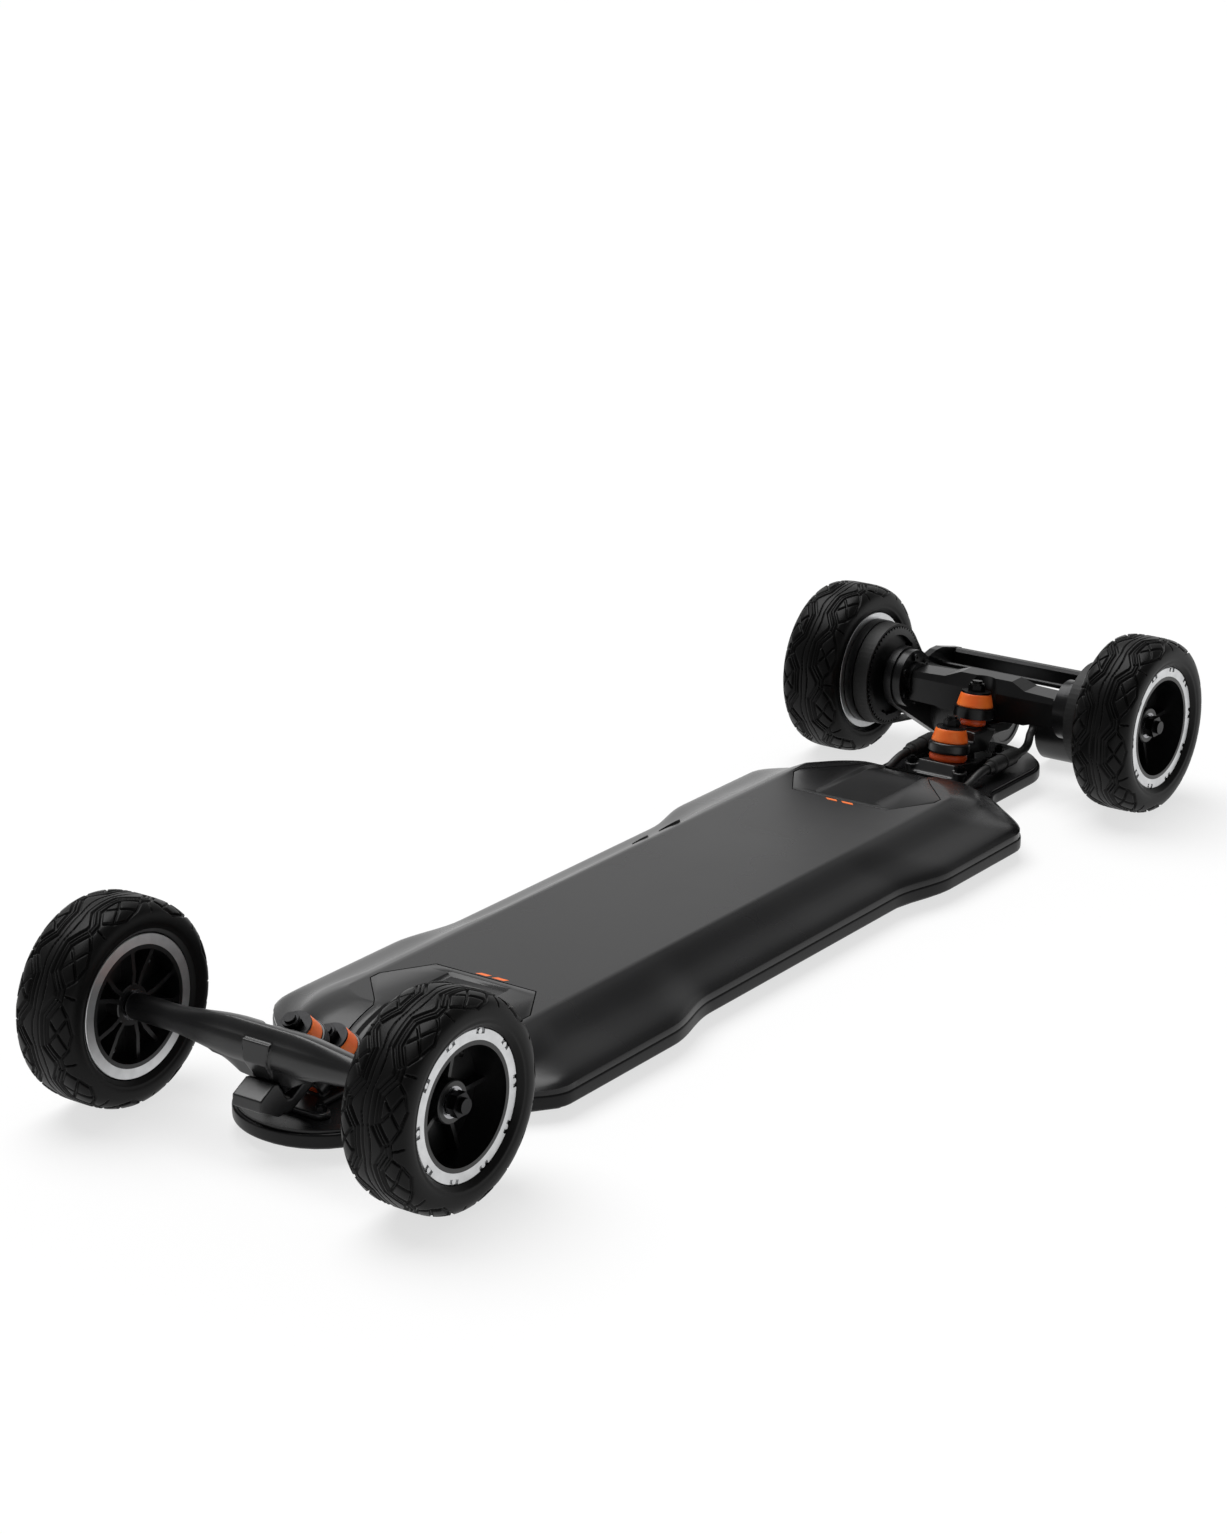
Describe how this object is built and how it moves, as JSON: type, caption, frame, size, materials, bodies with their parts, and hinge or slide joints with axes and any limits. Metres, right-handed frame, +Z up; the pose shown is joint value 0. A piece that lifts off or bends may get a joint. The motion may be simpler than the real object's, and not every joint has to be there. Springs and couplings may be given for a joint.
{
  "type": "electric mountainboard",
  "caption": "Off-road electric board lying belly up: sprung double-kingpin trucks, belt-driven pneumatic rear wheels, moulded battery cover with lift-off hatches.",
  "frame": {"origin": "on the ground under the middle of the board's bounding box, with the board lying belly up on its wheels", "axes": "+X along the board towards the driven wheels, +Y across the board, +Z up, out of the belly cover"},
  "size_m": [1.227, 0.377, 0.165],
  "materials": {
    "deck_laminate": "satin sealed laminate",
    "grip_tape": "coarse grit",
    "cover_abs": "fine moulded grain, satin",
    "black_steel": "black oxide",
    "battery_wrap": "heat shrink film",
    "bare_aluminium": "extruded",
    "moulded_trim": "satin",
    "button_plastic": "satin",
    "lead_sleeve": "satin",
    "cast_black": "satin powder coat",
    "machined_black": "black anodised",
    "urethane_orange": "satin cast urethane",
    "motor_enamel": "satin enamel",
    "pulley_steel": "machined",
    "belt_rubber": "matt",
    "pulley_black": "satin",
    "tyre_rubber": "matt rubber",
    "hub_black": "satin powder coat",
    "ring_aluminium": "turned and polished",
    "bearing_steel": "ground"
  },
  "bodies": {
    "deck": {"deck_board": "deck_laminate", "grip_sheet": "grip_tape", "belly_cover": "cover_abs", "cover_screws": "black_steel", "battery_pack": "battery_wrap", "motor_controller": "bare_aluminium", "charge_port": "moulded_trim", "deck_bolts": "black_steel", "left_motor_lead": "lead_sleeve", "right_motor_lead": "lead_sleeve", "front_baseplate": "cast_black", "front_base_cup": "urethane_orange", "front_inner_kingpin": "black_steel", "front_inner_bushings": "urethane_orange", "rear_baseplate": "cast_black", "rear_base_cup": "urethane_orange", "rear_inner_kingpin": "black_steel", "rear_inner_bushings": "urethane_orange"},
    "power_button": {"power_button": "button_plastic"},
    "front_hatch": {"front_hatch": "cover_abs"},
    "rear_hatch": {"rear_hatch": "cover_abs"},
    "front_link": {"front_link": "cast_black", "front_link_cup": "urethane_orange", "front_outer_kingpin": "black_steel", "front_outer_bushings": "urethane_orange"},
    "front_hanger": {"front_hanger": "cast_black", "front_axle": "black_steel"},
    "rear_link": {"rear_link": "cast_black", "rear_link_cup": "urethane_orange", "rear_outer_kingpin": "black_steel", "rear_outer_bushings": "urethane_orange"},
    "rear_hanger": {"rear_hanger": "machined_black", "rear_axle": "black_steel", "left_motor": "motor_enamel", "left_motor_mount": "machined_black", "left_belt": "belt_rubber", "right_motor": "motor_enamel", "right_motor_mount": "machined_black", "right_belt": "belt_rubber", "brace_bars": "machined_black"},
    "left_rotor": {"left_motor_pulley": "pulley_steel"},
    "right_rotor": {"right_motor_pulley": "pulley_steel"},
    "front_left_wheel": {"front_left_tyre": "tyre_rubber", "front_left_hub": "hub_black", "front_left_rim_rings": "ring_aluminium", "front_left_bearings": "bearing_steel"},
    "front_right_wheel": {"front_right_tyre": "tyre_rubber", "front_right_hub": "hub_black", "front_right_rim_rings": "ring_aluminium", "front_right_bearings": "bearing_steel"},
    "rear_left_wheel": {"rear_left_tyre": "tyre_rubber", "rear_left_hub": "hub_black", "rear_left_rim_rings": "ring_aluminium", "rear_left_bearings": "bearing_steel", "left_wheel_pulley": "pulley_black"},
    "rear_right_wheel": {"rear_right_tyre": "tyre_rubber", "rear_right_hub": "hub_black", "rear_right_rim_rings": "ring_aluminium", "rear_right_bearings": "bearing_steel", "right_wheel_pulley": "pulley_black"}
  },
  "joints": [
    {"name": "front_link_lean", "type": "hinge", "parent": "deck", "child": "front_link", "pos_m": [-0.45628, 0, 0.05117], "axis": [-0.866, 0, -0.5], "range_deg": [-10, 10], "stiffness_Nm_per_rad": 120, "deforming": ["front_inner_bushings"]},
    {"name": "front_hanger_lean", "type": "hinge", "parent": "front_link", "child": "front_hanger", "pos_m": [-0.4959, 0, 0.0746], "axis": [-0.866, 0, -0.5], "range_deg": [-10, 10], "stiffness_Nm_per_rad": 120, "deforming": ["front_outer_bushings"]},
    {"name": "rear_link_lean", "type": "hinge", "parent": "deck", "child": "rear_link", "pos_m": [0.43232, 0, 0.04996], "axis": [0.9848, 0, -0.1736], "range_deg": [-10, 10], "stiffness_Nm_per_rad": 120, "deforming": ["rear_inner_bushings"]},
    {"name": "rear_hanger_lean", "type": "hinge", "parent": "rear_link", "child": "rear_hanger", "pos_m": [0.4773, 0, 0.073], "axis": [0.9848, 0, -0.1736], "range_deg": [-10, 10], "stiffness_Nm_per_rad": 120, "deforming": ["rear_outer_bushings", "left_motor_lead", "right_motor_lead"]},
    {"name": "front_left_wheel_spin", "type": "hinge", "parent": "front_hanger", "child": "front_left_wheel", "pos_m": [-0.531, 0.159, 0.0825], "axis": [0, 1, 0], "continuous": true},
    {"name": "front_right_wheel_spin", "type": "hinge", "parent": "front_hanger", "child": "front_right_wheel", "pos_m": [-0.531, -0.159, 0.0825], "axis": [0, 1, 0], "continuous": true},
    {"name": "rear_left_wheel_spin", "type": "hinge", "parent": "rear_hanger", "child": "rear_left_wheel", "pos_m": [0.505, 0.159, 0.0825], "axis": [0, 1, 0], "continuous": true},
    {"name": "rear_right_wheel_spin", "type": "hinge", "parent": "rear_hanger", "child": "rear_right_wheel", "pos_m": [0.505, -0.159, 0.0825], "axis": [0, 1, 0], "continuous": true},
    {"name": "left_rotor_spin", "type": "hinge", "parent": "rear_hanger", "child": "left_rotor", "pos_m": [0.582, 0.115, 0.034], "axis": [0, 1, 0], "continuous": true},
    {"name": "right_rotor_spin", "type": "hinge", "parent": "rear_hanger", "child": "right_rotor", "pos_m": [0.582, -0.115, 0.034], "axis": [0, 1, 0], "continuous": true},
    {"name": "front_hatch_lift", "type": "slide", "parent": "deck", "child": "front_hatch", "axis": [0, 0, 1], "range_m": [0, 0.03]},
    {"name": "rear_hatch_lift", "type": "slide", "parent": "deck", "child": "rear_hatch", "axis": [0, 0, 1], "range_m": [0, 0.03]},
    {"name": "power_button_press", "type": "slide", "parent": "deck", "child": "power_button", "axis": [0, -0.5837, -0.8119], "range_m": [0, 0.001], "stiffness_N_per_m": 800}
  ],
  "couplings": [
    {"joint": "left_rotor_spin", "follows": "rear_left_wheel_spin", "ratio": 4},
    {"joint": "right_rotor_spin", "follows": "rear_right_wheel_spin", "ratio": 4}
  ]
}
